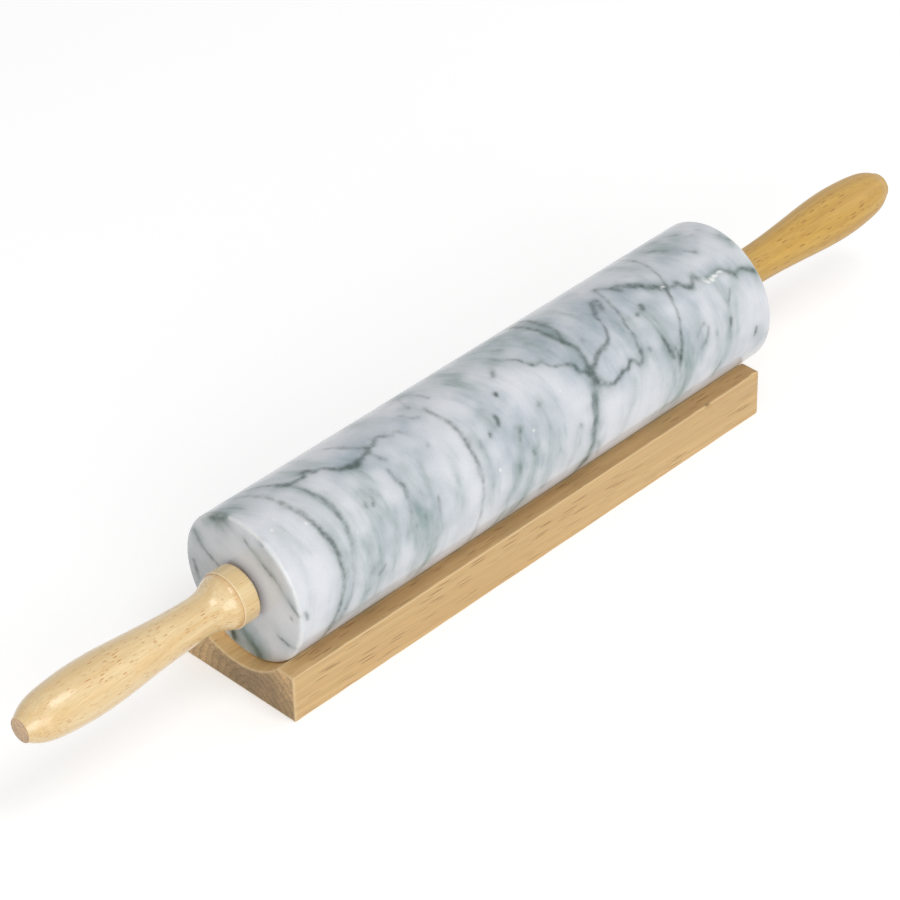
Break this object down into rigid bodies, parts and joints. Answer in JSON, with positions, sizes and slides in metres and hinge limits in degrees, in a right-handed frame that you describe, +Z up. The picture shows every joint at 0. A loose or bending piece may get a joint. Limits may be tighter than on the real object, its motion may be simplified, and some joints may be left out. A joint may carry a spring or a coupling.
{
  "type": "marble rolling pin",
  "caption": "Marble rolling pin with turned wooden handles that spins on a steel axle, lying in a wooden cradle with a round trough.",
  "frame": {"origin": "on the surface that the cradle stands on, under the middle of the barrel", "axes": "+X along the pin towards its right-hand handle, +Y across the cradle, +Z up"},
  "size_m": [0.4612, 0.0604, 0.0715],
  "materials": {
    "marble": "polished",
    "left_handle_wood": "gloss",
    "right_handle_wood": "gloss",
    "cradle_wood": "satin",
    "axle_steel": "satin",
    "washer_steel": "satin",
    "insert_brass": "satin",
    "nylon": "satin"
  },
  "bodies": {
    "cradle": {"cradle": "cradle_wood"},
    "handles": {"axle_rod": "axle_steel", "left_washer": "washer_steel", "right_washer": "washer_steel", "left_insert": "insert_brass", "right_insert": "insert_brass", "left_handle": "left_handle_wood", "right_handle": "right_handle_wood"},
    "barrel": {"marble_barrel": "marble", "left_bushing": "nylon", "right_bushing": "nylon"}
  },
  "joints": [
    {"name": "pin_lift", "type": "slide", "parent": "cradle", "child": "handles", "axis": [0, 0, 1], "range_m": [0, 0.1]},
    {"name": "barrel_spin", "type": "hinge", "parent": "handles", "child": "barrel", "pos_m": [0, 0, 0.04135], "axis": [1, 0, 0], "continuous": true}
  ]
}
